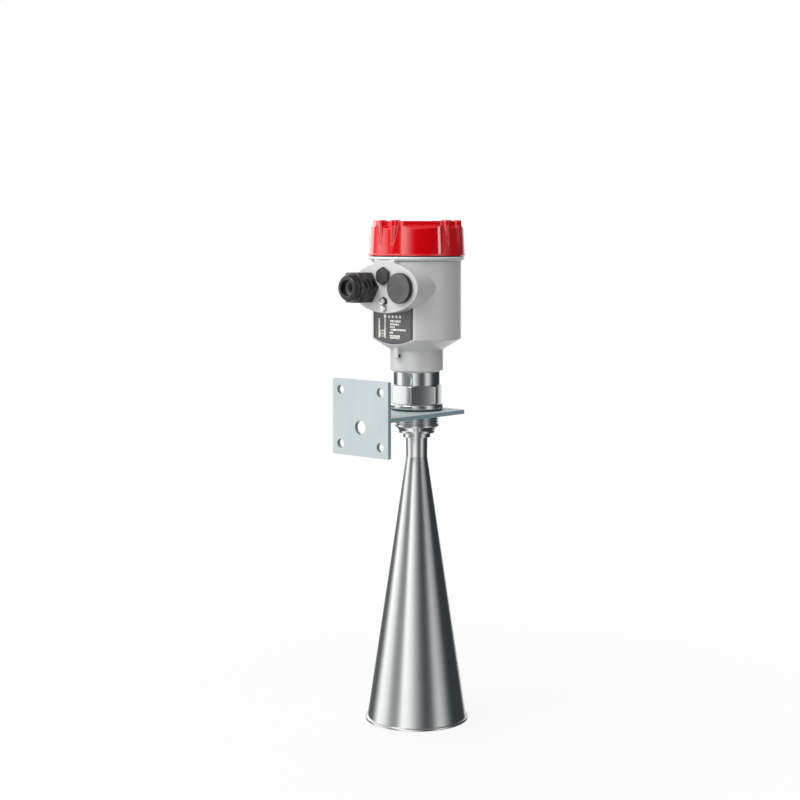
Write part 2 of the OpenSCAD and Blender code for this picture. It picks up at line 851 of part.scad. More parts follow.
// Each upper pillar has a stud that screws through the lower board
module upper_pillars() {
    pillars(rf_z + board_t, main_pillar_h);
    color(brass) four_around(pillar_orbit) translate([0, 0, rf_z + board_t - 4.5])
        cylinder(d = board_screw_d, h = 4.5 + eps);
}

module board_screws() {
    color(steel) four_around(pillar_orbit) translate([0, 0, main_z + board_t]) difference() {
        union() {
            cylinder(d = board_screw_head_d, h = board_screw_head_h);
            translate([0, 0, -board_screw_len])
                cylinder(d = board_screw_d, h = board_screw_len + eps);
        }
        translate([-board_screw_head_d, -slot_w / 2, board_screw_head_h - slot_depth])
            cube([2 * board_screw_head_d, slot_w, slot_depth + eps]);
    }
}

module cup_cover() {
    color(black) union() {
        translate([0, 0, cover_z]) cylinder(d = cover_d, h = cover_t);
        translate([0, 0, cover_z - 3]) ring(cup_bore_d - 2 * run, cup_bore_d - 4, 3 + eps);
    }
}

module each_way() {
    for (i = [0:block_ways - 1])
        translate([(i + 0.5) * way_pitch - block_w / 2, block_y, block_z]) children();
}

module terminal_block() {
    color([0.15, 0.35, 0.3]) difference() {
        translate([-block_w / 2, block_y, block_z]) cube([block_w, block_depth, block_h]);
        each_way() {
            translate([-way_pitch / 2 + way_wall, -eps, way_floor])
                cube([way_pitch - 2 * way_wall, way_depth, way_h]);
            translate([0, block_depth / 2, way_floor]) cylinder(d = way_hole_d, h = block_h);
        }
    }
}

module terminal_screws() {
    color(steel) each_way()
        translate([0, block_depth / 2, block_h - way_head_h - way_sunk]) difference() {
            union() {
                cylinder(d = way_hole_d - 2 * run, h = way_head_h);
                translate([0, 0, -way_shank]) cylinder(d = way_shank_d, h = way_shank + eps);
            }
            translate([-way_hole_d, -slot_w / 2, way_head_h - slot_depth])
                cube([2 * way_hole_d, slot_w, slot_depth + eps]);
        }
}

mounting_bracket();
process_gasket();
process_fitting();
antenna_horn();
feed_cone();
waveguide_tube();
swivel_washer();
swivel_o_ring();
retaining_ring();
housing();
nameplate();
lid_seal();
lid();
gland_base_seal();
gland_body();
gland_seal();
gland_thrust_ring();
gland_nut();
plug_seal();
blanking_plug();
vent_plug();
vent_membrane();
ground_clamp();
ground_screw();
bond_washer();
bond_screw();
lock_pad();
lock_screw();
electronics_cup();
cup_screws();
rf_launcher();
rf_board();
lower_pillars();
upper_pillars();
main_board();
board_screws();
cup_cover();
terminal_block();
terminal_screws();
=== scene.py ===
import json
import math

import bmesh
import bpy
import numpy as np
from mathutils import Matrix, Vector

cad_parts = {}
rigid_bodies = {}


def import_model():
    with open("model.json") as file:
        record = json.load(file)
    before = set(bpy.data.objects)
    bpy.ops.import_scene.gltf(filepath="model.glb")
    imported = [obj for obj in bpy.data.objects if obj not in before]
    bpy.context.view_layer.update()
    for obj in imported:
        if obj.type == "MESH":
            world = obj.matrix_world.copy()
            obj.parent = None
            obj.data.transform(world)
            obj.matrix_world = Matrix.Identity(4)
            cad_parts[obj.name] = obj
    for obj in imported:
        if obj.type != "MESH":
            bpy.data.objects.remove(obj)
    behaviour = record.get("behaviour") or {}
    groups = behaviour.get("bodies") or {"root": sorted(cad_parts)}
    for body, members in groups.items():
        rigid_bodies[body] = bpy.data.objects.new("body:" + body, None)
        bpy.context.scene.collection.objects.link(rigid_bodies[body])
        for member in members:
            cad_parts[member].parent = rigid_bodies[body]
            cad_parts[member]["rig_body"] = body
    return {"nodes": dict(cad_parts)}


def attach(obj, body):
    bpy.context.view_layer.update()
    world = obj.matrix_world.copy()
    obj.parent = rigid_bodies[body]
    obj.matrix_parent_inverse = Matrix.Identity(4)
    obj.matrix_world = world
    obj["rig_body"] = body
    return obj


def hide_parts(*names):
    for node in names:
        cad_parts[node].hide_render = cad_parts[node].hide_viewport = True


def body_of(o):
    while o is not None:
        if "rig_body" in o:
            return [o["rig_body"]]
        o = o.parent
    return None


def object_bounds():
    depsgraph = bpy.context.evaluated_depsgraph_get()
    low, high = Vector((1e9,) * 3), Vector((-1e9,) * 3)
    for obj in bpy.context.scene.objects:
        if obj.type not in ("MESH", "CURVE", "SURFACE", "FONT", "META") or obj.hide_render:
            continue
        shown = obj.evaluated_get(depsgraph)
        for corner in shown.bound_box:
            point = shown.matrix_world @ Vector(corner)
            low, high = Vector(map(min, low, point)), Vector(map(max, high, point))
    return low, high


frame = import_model()
cad_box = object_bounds()
mm = 0.001

# The room: a camera a little above the fitting, turned between the wall side and the plug side.
# Tall soft boxes and dark flags stand round the instrument, and the floor is a pale sheet.
camera_turn, camera_tilt = math.radians(41.75), math.radians(2.26)
camera_reach, camera_height = 1.5566, 0.1655
camera_lens = bpy.data.cameras.new("camera")
camera_lens.lens = 73.97
camera_lens.sensor_width = 36.0
camera_lens.shift_x = -0.021
camera_lens.shift_y = -0.125
camera_lens.clip_start = 0.01
camera = bpy.data.objects.new("camera", camera_lens)
camera.location = (
    camera_reach * math.sin(camera_turn), -camera_reach * math.cos(camera_turn), camera_height)
camera.rotation_euler = (math.radians(90) - camera_tilt, 0, camera_turn)
bpy.context.scene.collection.objects.link(camera)
bpy.context.scene.camera = camera
bpy.context.scene.view_settings.view_transform = "Standard"


class Wire:
    """An output of a shader node. Sums on wires add Math nodes to the same tree."""

    def __init__(self, tree, node, output):
        self.tree, self.node, self.output = tree, node, output

    def __getitem__(self, name):
        return Wire(self.tree, self.node, self.node.outputs[name])

    def __add__(self, other):
        return self.tree.maths("ADD", self, other)

    def __sub__(self, other):
        return self.tree.maths("SUBTRACT", self, other)

    def __rsub__(self, other):
        return self.tree.maths("SUBTRACT", other, self)

    def __mul__(self, other):
        return self.tree.maths("MULTIPLY", self, other)

    def __truediv__(self, other):
        return self.tree.maths("DIVIDE", self, other)

    def __abs__(self):
        return self.tree.maths("ABSOLUTE", self)

    __radd__ = __add__
    __rmul__ = __mul__

    def within(self, low, high):
        """0 below low, 1 above high, and a smooth step between them."""
        ends = {"Value": self, "From Min": low, "From Max": high}
        return self.tree.add("ShaderNodeMapRange", {"interpolation_type": "SMOOTHSTEP"}, ends)

    def band(self, foot, full, fall, end):
        """0 below foot, 1 from full to fall, and 0 again above end."""
        return self.within(foot, full) * (1 - self.within(fall, end))


class Tree:
    """The node tree of a material or of the world, empty at first."""

    def __init__(self, owner):
        owner.use_nodes = True
        self.nodes, self.links = owner.node_tree.nodes, owner.node_tree.links
        self.nodes.clear()

    def add(self, kind, settings=None, sockets=None):
        """Adds a node: its settings first, then a value or a wire for each socket named."""
        node = self.nodes.new(kind)
        for name, value in (settings or {}).items():
            if name == "stops":
                ramp = node.color_ramp
                ramp.elements.remove(ramp.elements[1])
                ramp.elements[0].position, ramp.elements[0].color = value[0]
                for position, colour in value[1:]:
                    ramp.elements.new(position).color = colour
            else:
                setattr(node, name, value)
        for name, value in (sockets or {}).items():
            if isinstance(value, Wire):
                self.links.new(value.output, node.inputs[name])
            else:
                node.inputs[name].default_value = value
        return Wire(self, node, node.outputs[0]) if node.outputs else None

    def maths(self, operation, *values):
        """A Math node on one value or two, which may be numbers or wires."""
        return self.add("ShaderNodeMath", {"operation": operation}, dict(enumerate(values)))

    def parts(self, vector):
        """A wire for a vector, from which ["X"], ["Y"] and ["Z"] can be taken."""
        return self.add("ShaderNodeSeparateXYZ", None, {"Vector": vector})

    def mixed(self, factor, low, high):
        """The colour low where the factor is 0, and high where it is 1."""
        node = self.add("ShaderNodeMix", {"data_type": "RGBA"}, {0: factor, 6: low, 7: high})
        return Wire(self, node.node, node.node.outputs[2])


world = bpy.data.worlds.new("studio")
bpy.context.scene.world = world
room = Tree(world)
round_camera = room.add(
    "ShaderNodeVectorRotate", {"rotation_type": "Z_AXIS"},
    {"Vector": room.add("ShaderNodeTexCoord")["Generated"], "Angle": -camera_turn})
toward = room.parts(round_camera)
azimuth = room.maths("ARCTAN2", toward["X"], 0 - toward["Y"])
brightest = 3.0


def round_room(stops):
    """A colour that changes with the azimuth: stops are angles in degrees and levels of light up to
    the brightest. All levels are a little cool, which shows in the dark ones."""
    colours = []
    for turn, level in stops:
        grey = level / brightest
        colours.append(((turn + 180) / 360, (grey - 0.004, grey, grey + 0.002, 1)))
    return room.add("ShaderNodeValToRGB", {"stops": colours}, {"Fac": azimuth / math.tau + 0.5})


# Polished metal mirrors panels all round. The lid mirrors narrower cards, at the two low bands of
# height that its tapered skirt and its lobes look at. Over all of it hangs a dim ceiling.
panels = round_room([
    (-180, 0.95), (-168, 0.70), (-156, 0.16), (-126, 0.12), (-112, 0.80), (-104, 1.65),
    (-90, 1.55), (-80, 1.35), (-71, 0.90), (-62, 0.52), (-50, 0.46), (-44, 0.85), (-36, 1.50),
    (-18, 1.50), (-10, 1.20), (-3, 0.82), (6, 0.45), (14, 0.20), (22, 0.12), (30, 0.13),
    (38, 0.30), (48, 0.92), (56, 1.05), (63, 0.85), (74, 0.38), (84, 0.11), (96, 0.06),
    (146, 0.06), (154, 0.90), (180, 0.95)])
cards = round_room([
    (-180, 0.95), (-166, 0.90), (-156, 0.25), (-124, 0.15), (-116, 0.30), (-108, 2.30),
    (-98, 2.50), (-88, 1.35), (-78, 0.80), (-72, 0.15), (-66, 0.03), (-46, 0.03), (-41, 0.20),
    (-36, 2.30), (-29, 2.10), (-21, 1.20), (-14, 0.50), (-8, 0.10), (0, 0.02), (42, 0.02),
    (64, 0.05), (70, 0.30), (79, 0.34), (85, 0.04), (128, 0.04), (138, 0.45), (152, 0.90),
    (180, 0.95)])
at_lid = toward["Z"].band(0.07, 0.09, 0.128, 0.145)
at_lid = at_lid + toward["Z"].band(-0.006, -0.001, 0.016, 0.022)
sides = room.mixed(at_lid, panels, cards)
behind_left = azimuth.band(*np.radians([-170, -162, -132, -124]).tolist())
high_left = room.mixed(
    behind_left * toward["Z"].within(-0.03, 0.02), sides, (0.75, 0.75, 0.75, 1))
mirrored = room.mixed(toward["Z"].within(0.62, 0.85), high_left, (0.09, 0.09, 0.09, 1))
sharp = room.add("ShaderNodeBackground", None, {"Color": mirrored, "Strength": brightest})

# Matt surfaces get a gentle light that is strongest from the left, from above and from behind.
# The camera sees plain white past the instrument.
leftmost = room.maths("MAXIMUM", toward["X"], -0.7)
gentle = room.maths("MAXIMUM", 0.70 - 1.1 * leftmost + 0.8 * toward["Z"], 0.08)
away = toward["Y"].within(0.2, 1)
rays = room.add("ShaderNodeLightPath")
behind = room.add("ShaderNodeBackground", None, {"Color": (1, 1, 1, 1), "Strength": 1})
soft = room.add("ShaderNodeBackground", None, {"Color": gentle + 0.8 * away, "Strength": 1})
lighting = room.add("ShaderNodeMixShader", None, {0: rays["Is Glossy Ray"], 1: soft, 2: sharp})
backdrop = room.add("ShaderNodeMixShader", None, {0: rays["Is Camera Ray"], 1: lighting, 2: behind})
room.add("ShaderNodeOutputWorld", None, {"Surface": backdrop})

# A broad lamp hangs high at the camera's left.
key = bpy.data.lights.new("key", "AREA")
key.shape = "DISK"
key.size = 0.9
key.energy = 8
key_lamp = bpy.data.objects.new("key", key)
key_lamp.location = (-0.3, -1.1, 1.1)
key_lamp.rotation_euler = (math.radians(46), 0, math.radians(-15))
bpy.context.scene.collection.objects.link(key_lamp)

# A small lamp on the right stands as one bright upright line in the lid's paint.
glint = bpy.data.lights.new("glint", "AREA")
glint.shape = "RECTANGLE"
glint.size, glint.size_y = 0.050, 0.045
glint.energy = 0.030
glint_lamp = bpy.data.objects.new("glint", glint)
glint_turn, glint_reach, glint_height = camera_turn + math.radians(53.4), 0.47, 0.207
glint_lamp.location = (
    glint_reach * math.sin(glint_turn), -glint_reach * math.cos(glint_turn), glint_height)
glint_lamp.rotation_euler = (math.radians(84), 0, glint_turn)
bpy.context.scene.collection.objects.link(glint_lamp)

# The floor is a matt disc under the horn's mouth. It fades to white away from the instrument, and
# from below it can be seen through.
floor_mesh = bpy.data.meshes.new("floor")
floor_radius, floor_sides = 2.2, 96
rim = np.linspace(0, math.tau, floor_sides, endpoint=False)
floor_points = np.stack([
    floor_radius * np.cos(rim), floor_radius * np.sin(rim),
    np.full(floor_sides, cad_box[0][2])], 1)
floor_mesh.from_pydata(floor_points.tolist(), [], [list(range(floor_sides))])
floor = bpy.data.objects.new("floor", floor_mesh)
bpy.context.scene.collection.objects.link(floor)
floor.visible_glossy = False
sheet = bpy.data.materials.new("floor_sheet")
ground = Tree(sheet)
spot = ground.add("ShaderNodeTexCoord")["Object"]
distance = ground.add("ShaderNodeVectorMath", {"operation": "LENGTH"}, {0: spot})["Value"]
apart = distance.within(0.35, 0.9)
seen = ground.add("ShaderNodeLightPath")["Is Camera Ray"]
matte = ground.add("ShaderNodeBsdfDiffuse", None, {"Color": (0.5, 0.5, 0.5, 1)})
white = ground.add("ShaderNodeEmission", None, {"Color": (1, 1, 1, 1), "Strength": 1})
lifted = ground.add(
    "ShaderNodeMixShader", None, {0: seen * (0.88 + 0.12 * apart), 1: matte, 2: white})
below = ground.add("ShaderNodeNewGeometry")["Backfacing"]
clear = ground.add("ShaderNodeBsdfTransparent")
opening = ground.add("ShaderNodeMixShader", None, {0: below, 1: lifted, 2: clear})
ground.add("ShaderNodeOutputMaterial", None, {"Surface": opening})
floor_mesh.materials.append(sheet)


# The bracket: a shelf of 4 mm steel plate welded to the back of a wall plate, drilled, and zinc
# plated to a pale blue-grey. The fitting hangs in its shelf, on the flat seal.
def tint(red, green, blue):
    """A colour as it is mixed on a screen, from 0 to 255, as light: its power of about 2.2."""
    parts = np.array([red, green, blue]) / 255
    light = np.where(parts < 0.04045, parts / 12.92, ((parts + 0.055) / 1.055) ** 2.4)
    return (*light.tolist(), 1)


def softened(node, edge, steps=2, moved=None):
    """A copy of a CAD part with its facets joined and its edges rounded over a width of edge. Each
    point's normal is the mean of the flat regions that meet there, weighed by their whole areas.
    Points may be moved first, by a function of their positions."""
    same_point, facet_turn, crisp_turn, level = 5e-6, math.radians(0.4), math.radians(28), 0.9999995
    no_area = 1e-12
    shape = bmesh.new()
    shape.from_mesh(frame["nodes"][node].data)
    for corner in shape.verts if moved else ():
        corner.co = moved(*corner.co)
    bmesh.ops.remove_doubles(shape, verts=shape.verts, dist=same_point)
    bmesh.ops.dissolve_limit(
        shape, angle_limit=facet_turn, verts=shape.verts, edges=shape.edges)
    crisp = [side for side in shape.edges if side.calc_face_angle(0) > crisp_turn]
    bmesh.ops.bevel(
        shape, geom=crisp, offset=edge, offset_type="OFFSET", segments=steps, profile=0.5,
        affect="EDGES", clamp_overlap=False, material=-1)
    bmesh.ops.triangulate(shape, faces=[face for face in shape.faces if len(face.verts) > 4])
    shape.faces.index_update()
    region_area = [0.0] * len(shape.faces)
    for seed in shape.faces:
        if not region_area[seed.index]:
            region, waiting = {seed}, [seed]
            while waiting:
                for side in waiting.pop().edges:
                    for face in side.link_faces:
                        if face not in region and face.normal.dot(seed.normal) > level:
                            region.add(face)
                            waiting.append(face)
            area = sum(face.calc_area() for face in region) + no_area
            for face in region:
                region_area[face.index] = area
    normals = []
    for corner in shape.verts:
        total = corner.normal * no_area
        for face in corner.link_faces:
            total = total + face.normal * region_area[face.index]
        normals.append(total.normalized())
    mesh = bpy.data.meshes.new(node + "_finished")
    shape.to_mesh(mesh)
    shape.free()
    mesh.polygons.foreach_set("use_smooth", np.ones(len(mesh.polygons), bool))
    mesh.normals_split_custom_set_from_vertices(normals)
    return placed(mesh, node, False)


def placed(mesh, node, weighed=True):
    """Puts a mesh on the body of the CAD part it stands for, and hides that part."""
    mesh.materials.clear()
    mesh.polygons.foreach_set("use_smooth", np.ones(len(mesh.polygons), bool))
    item = bpy.data.objects.new(mesh.name, mesh)
    bpy.context.scene.collection.objects.link(item)
    if weighed:
        item.modifiers.new("flats", "WEIGHTED_NORMAL").keep_sharp = False
    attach(item, body_with(node))
    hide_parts(node)
    return item


def body_with(node):
    return body_of(frame["nodes"][node])[0]


class Finish(Tree):
    """A material: one Principled shader, with coordinates in metres on the object."""

    def __init__(self, name):
        self.material = bpy.data.materials.new(name)
        super().__init__(self.material)
        self.place = self.add("ShaderNodeTexCoord")["Object"]

    def stretched(self, along_x, along_y, along_z):
        """Coordinates that make grain longer along an axis, the smaller its number is."""
        scale = {"Vector": self.place, "Scale": (along_x, along_y, along_z)}
        return self.add("ShaderNodeMapping", None, scale)

    def grain(self, size, detail, place=None):
        """Noise from 0 to 1 whose lumps are about size metres across."""
        return self.add("ShaderNodeTexNoise", {"noise_dimensions": "3D"}, {
            "Vector": place or self.place, "Scale": 1 / size, "Detail": detail, "Roughness": 0.55})

    def relief(self, height, depth):
        """Bumps whose height from 0 to 1 stands for a depth in metres."""
        return self.add(
            "ShaderNodeBump", None, {"Height": height, "Distance": depth, "Strength": 1.0})

    def shade(self, **sockets):
        """Ends the material: each name is a socket of the Principled shader, with _ for a space."""
        named = {name.replace("_", " "): value for name, value in sockets.items()}
        shader = self.add("ShaderNodeBsdfPrincipled", None, named)
        self.add("ShaderNodeOutputMaterial", None, {"Surface": shader})
        return self.material


corner_centre, corner_curve, plate_drop, plate_back = 32.5, 2.5, 2.0, 74.0


def squared(x, y, z):
    """Draws a rounded corner of the wall plate out to a square one. From the centre of the corner's
    curve, each point goes out by the four-fifths power of the curve's radius over the greater of
    its distances along the two sides."""
    drop = z / mm + plate_drop
    side, up = abs(x) / mm - corner_centre, abs(drop) - corner_centre
    past_plate = y > (0.1 - plate_back) * mm
    if past_plate or min(side, up) < 0.01 or max(side, up) > corner_curve + 0.1:
        return x, y, z
    stretch = (corner_curve / max(side, up)) ** 0.8
    return (
        math.copysign(corner_centre + side * stretch, x) * mm, y,
        (math.copysign(corner_centre + up * stretch, drop) - plate_drop) * mm)


bracket = softened("mounting_bracket", 0.3 * mm, 2, squared)
zinc = Finish("zinc_plate")
spangle = zinc.grain(9 * mm, 4)
film = zinc.grain(40 * mm, 2)
spot = zinc.parts(zinc.place)
half_sheet = 2.0
plate_depth = abs(spot["Y"] + (plate_back + half_sheet) * mm)
shelf_depth = abs(spot["Z"] + half_sheet * mm)
on_shelf = spot["Y"].within(-plate_back * mm, (0.1 - plate_back) * mm)
depth = zinc.mixed(on_shelf, plate_depth, shelf_depth)
cut = 1 - depth.within((half_sheet - 0.25) * mm, (half_sheet - 0.1) * mm)
pale = zinc.mixed(film.within(0.3, 0.7), tint(173, 183, 185), tint(178, 187, 189))
milky = zinc.mixed(0.35 * spangle.within(0.45, 0.75), pale, tint(164, 177, 180))
rolled = zinc.grain(0.25 * mm, 2, zinc.stretched(1, 0.2, 0.2))
bracket.data.materials.append(zinc.shade(
    Base_Color=zinc.mixed(cut, milky, tint(130, 153, 162)),
    Roughness=0.36 + 0.14 * spangle,
    Specular_IOR_Level=0.5,
    Normal=zinc.relief(rolled, 0.008 * mm)))


# The flat seal: a dark green fibre ring punched from sheet, squeezed between the fitting's face
# and the shelf. Its fibres show as a fine grain.
def woven(name, *grids):
    """A mesh of four-sided faces through grids of points, each of shape (rows, columns, 3)."""
    corners, faces, first = [], [], 0
    for grid in grids:
        rows, columns = grid.shape[:2]
        number = np.arange(rows * columns).reshape(rows, columns) + first
        four = [number[:-1, :-1], number[1:, :-1], number[1:, 1:], number[:-1, 1:]]
        faces.append(np.stack(four, -1).reshape(-1, 4))
        corners.append(grid.reshape(-1, 3))
        first += rows * columns
    corners, faces = np.concatenate(corners), np.concatenate(faces)
    mesh = bpy.data.meshes.new(name)
    mesh.vertices.add(len(corners))
    mesh.vertices.foreach_set("co", corners.ravel())
    mesh.loops.add(faces.size)
    mesh.loops.foreach_set("vertex_index", faces.ravel())
    mesh.polygons.add(len(faces))
    mesh.polygons.foreach_set("loop_start", np.arange(0, faces.size, 4))
    mesh.update(calc_edges=True)
    shape = bmesh.new()
    shape.from_mesh(mesh)
    bmesh.ops.remove_doubles(shape, verts=shape.verts, dist=1e-6)
    shape.to_mesh(mesh)
    shape.free()
    return mesh


def eased(corners, reach, steps=5):
    """A closed outline with its corners eased. Each curve leaves one side at reach from the corner
    and joins the next at the same reach, or at most 0.45 of the side:
    (1-t)^2 start + 2t(1-t) corner + t^2 end."""
    corners = np.asarray(corners, float)
    reach = np.broadcast_to(reach, len(corners))[:, None]
    back, ahead = np.roll(corners, 1, 0) - corners, np.roll(corners, -1, 0) - corners
    back_length = np.linalg.norm(back, axis=1, keepdims=True)
    ahead_length = np.linalg.norm(ahead, axis=1, keepdims=True)
    most = 0.45
    start = (corners + back / back_length * np.minimum(reach, most * back_length))[:, None]
    end = (corners + ahead / ahead_length * np.minimum(reach, most * ahead_length))[:, None]
    t = np.linspace(0, 1, steps)[None, :, None]
    outline = (1 - t) ** 2 * start + 2 * t * (1 - t) * corners[:, None] + t ** 2 * end
    outline = outline.reshape(-1, 2)
    return np.concatenate([outline, outline[:1]])


def turned(outline, sides=192):
    """A turned shape from an outline of radius and height, counter-clockwise:
    x = radius cos t, y = radius sin t, z = height, for t once round."""
    radius, height = outline.T
    t = np.linspace(0, math.tau, sides + 1)[:, None]
    return np.stack(np.broadcast_arrays(radius * np.cos(t), radius * np.sin(t), height), -1) * mm


seal_in, seal_out, seal_top = 21.3, 24.4, 1.7
seal_outline = eased(
    [(seal_in, 0), (seal_out, 0), (seal_out, seal_top), (seal_in, seal_top)], 0.3)
seal = placed(woven("flat_seal", turned(seal_outline)), "process_gasket")
fibre = Finish("green_fibre")
threads = fibre.grain(0.5 * mm, 4)
seal.data.materials.append(fibre.shade(
    Base_Color=fibre.mixed(threads, tint(6, 52, 36), tint(14, 70, 50)),
    Roughness=0.5 + 0.25 * threads,
    Normal=fibre.relief(threads, 0.04 * mm)))


# The process fitting: turned from stainless hexagon bar and polished. A sealing face, a hexagon
# chamfered at both ends, a plain ring under the swivel, and a G 1 1/4 thread with a run-out below.
def bar_radius(t, across, turn, crispness=90):
    """Radius at angle t of a hexagon bar with slightly rounded corners and faces polished a little
    convex: half its width over the crispness-norm of the six faces' cosines, less 0.7 mm times the
    square of the distance from the face's middle over half the face's width."""
    faces = np.cos(t[..., None] - math.radians(turn) - np.arange(6) * math.pi / 3 - math.pi / 6)
    off_middle = np.tan(np.arccos(np.clip(faces.max(-1), 0, 1))) / math.tan(math.pi / 6)
    norm = (np.maximum(faces, 0) ** crispness).sum(-1) ** (1 / crispness)
    return across / 2 / norm - 0.7 * off_middle ** 2


def hexagon(across, turn, low, high, foot, head, head_in, sides=360):
    """The six flats between two heights: the bar's radius, but no more than two cones that cut the
    corners off, at the foot and at the head. Both ends run inwards under the turned body's skin."""
    t = np.linspace(0, math.tau, sides + 1)[:, None]
    z = np.concatenate([
        np.linspace(low, low + foot, 8), np.linspace(low + foot, high - head, 6)[1:],
        np.linspace(high - head, high, 14)[1:]])[None]
    corner = across / 2 / math.cos(math.pi / 6)
    foot_cone = 2 * np.maximum(low + foot - z, 0)
    head_cone = np.maximum(z - high + head, 0) / head * (corner - head_in)
    cone = corner + 0.1 - np.maximum(foot_cone, head_cone)
    radius = np.minimum(bar_radius(t, across, turn), cone)
    wall = np.stack(np.broadcast_arrays(radius * np.cos(t), radius * np.sin(t), z), -1)
    inside_body = np.array([0.6, 0.6, 1])
    return np.concatenate(
        [wall[:, :1] * inside_body, wall, wall[:, -1:] * inside_body], 1) * mm


def screw_thread(outside, depth, pitch, low, high, sides=144, steps=10):
    """A right-handed thread. The radius is the outside less depth times (1/2 - 3/4 cos of the
    height within one pitch), cut off at 0 and 1, and the height climbs one pitch for each turn.
    It ends flat at low and high."""
    t = np.linspace(0, math.tau, sides + 1)[:, None]
    count = int(math.ceil((high - low) / pitch)) + 1
    rise = np.linspace(-1, count, steps * (count + 1) + 1)[None] * pitch
    wave = np.clip(0.5 - 0.75 * np.cos(math.tau * rise / pitch), 0, 1)
    z = np.clip(low + rise + pitch * t / math.tau, low, high)
    radius = outside - depth * wave
    return np.stack(np.broadcast_arrays(radius * np.cos(t), radius * np.sin(t), z), -1) * mm


face_low, face_high, ring_low, ring_high = 1.7, 6.7, 24.1, 36.7
fitting_body = eased([
    (10.2, -21.7), (17, -21.7), (17, -19.6), (20.35, -15.5), (20.95, -15.2), (20.95, -13.6),
    (19.5, -12.6), (19.5, 1.2), (19.5, 1.7), (25, face_low), (25, face_high - 1.2),
    (23.6, face_high), (21.2, face_high), (21.2, ring_low), (22, ring_low), (22, ring_high),
    (16.9, ring_high), (16.9, 74), (6.1, 74), (6.1, -12.1), (10.2, -12.1)],
    [0.3, 0.5, 0.4, 0.6, 0.4, 0.4, 0.3, 0, 0, 0.7, 1.0, 0.8, 0.1, 0.1, 0.5, 0.6, 0.2, 0.4, 0.1,
     0.1, 0.1])
thread_r, thread_depth, thread_pitch = 20.9, 1.35, 2.309
fitting = placed(woven(
    "fitting",
    turned(fitting_body, 256),
    hexagon(44, -2, face_high, ring_low, 0.8, 1.6, 21.2),
    screw_thread(thread_r, thread_depth, thread_pitch, -13.4, -0.3)), "process_fitting")


def steel(name, tone, smooth, streak, depth):
    """Stainless steel that was turned about the upright axis: streaks run round it, fine along the
    axis, and broad faint smears lie over them from handling."""
    metal = Finish(name)
    lines = metal.grain(streak, 3, metal.stretched(0.02, 0.02, 1))
    smear = metal.grain(14 * mm, 3)
    darker = (*[0.86 * part for part in tone[:3]], 1)
    return metal.shade(
        Base_Color=metal.mixed(0.35 * lines + 0.2 * smear, tone, darker),
        Metallic=1.0,
        Roughness=smooth + 0.05 * smear + 0.05 * lines,
        Normal=metal.relief(lines, depth))


fitting.data.materials.append(
    steel("polished_fitting", (0.62, 0.625, 0.63, 1), 0.09, 0.12 * mm, 0.0010 * mm))


# The horn: spun from 1.5 mm stainless sheet over a former and polished, welded to a short throat,
# with its mouth rolled to a square lip. The feed cone in it is turned from white PTFE.
horn_outline = eased([
    (7.5, -12.2), (10, -12.2), (10, -21.7), (13, -21.7), (13, -26), (10.2, -26), (10.1, -42.5),
    (10, -44.2), (10.25, -45.9), (47.1, -292.8), (48.9, -292.8), (49.1, -295), (45.55, -295),
    (45.55, -292.8), (7.5, -44.2)],
    [0.2, 0.3, 0.1, 0.5, 0.5, 0.4, 0.1, 0.5, 0.1, 0.5, 0.6, 0.7, 0.4, 1.0, 2])
horn = placed(woven("horn_shell", turned(horn_outline, 320)), "antenna_horn")
horn.data.materials.append(
    steel("spun_steel", (0.615, 0.62, 0.62, 1), 0.15, 0.5 * mm, 0.002 * mm))

def finish_plain(material, *nodes):
    """Gives a material to CAD parts that are seen as they are."""
    for node in nodes:
        frame["nodes"][node].data.materials[0] = material


feed = softened("feed_cone", 0.2 * mm)
ptfe = Finish("white_ptfe")
cloud = ptfe.grain(4 * mm, 3)
feed.data.materials.append(ptfe.shade(
    Base_Color=ptfe.mixed(cloud, (0.80, 0.80, 0.79, 1), (0.88, 0.88, 0.87, 1)),
    Roughness=0.38 + 0.1 * cloud,
    Subsurface_Weight=0.1,
    Normal=ptfe.relief(ptfe.grain(0.3 * mm, 2, ptfe.stretched(0.05, 0.05, 1)), 0.004 * mm)))
finish_plain(ptfe.material, "swivel_washer", "vent_membrane")

brass = Finish("drawn_brass")
drawn = brass.grain(0.2 * mm, 3, brass.stretched(1, 1, 0.03))
brassy = brass.shade(
    Base_Color=brass.mixed(drawn, (0.62, 0.44, 0.17, 1), (0.72, 0.54, 0.25, 1)),
    Metallic=1.0,
    Roughness=0.25 + 0.12 * drawn,
    Normal=brass.relief(drawn, 0.003 * mm))
finish_plain(
    brassy, "waveguide_tube", "rf_launcher", "lower_pillars", "upper_pillars", "lock_pad")


# The housing: die-cast aluminium under a light grey powder coat, with its entry boss, the flat for
# the nameplate and the lock-screw lug in one casting. It turns on the fitting's spigot. A pale line
# painted round the flange is a painted highlight, and a dark band above it is painted shade in the
# gap under the lid.
housing = softened("housing", 1.0 * mm, 3)
powder = Finish("grey_powder_coat")
dimple = powder.grain(0.9 * mm, 2)
drift = powder.grain(35 * mm, 2)
height = powder.parts(powder.place)["Z"]
# Painted highlight: a pale line round the flange's edge. Above 145.2 mm is a dark painted shade for
# the gap under the lid.
painted_flange_highlight = height.within(143.9 * mm, 144.2 * mm)
painted_light_lines = powder.mixed(height.within(145.2 * mm, 145.4 * mm), tint(232, 243, 242), tint(84, 88, 90))
coat = powder.mixed(drift, tint(193, 193, 194), tint(199, 199, 199))
housing.data.materials.append(powder.shade(
    Base_Color=powder.mixed(painted_flange_highlight, coat, painted_light_lines),
    Roughness=0.30 + 0.07 * dimple - 0.08 * painted_flange_highlight,
    Coat_Weight=0.3,
    Coat_Roughness=0.15,
    Normal=powder.relief(dimple, 0.012 * mm)))

spring = steel("spring_steel", (0.42, 0.42, 0.43, 1), 0.3, 0.3 * mm, 0.002 * mm)
finish_plain(spring, "retaining_ring")


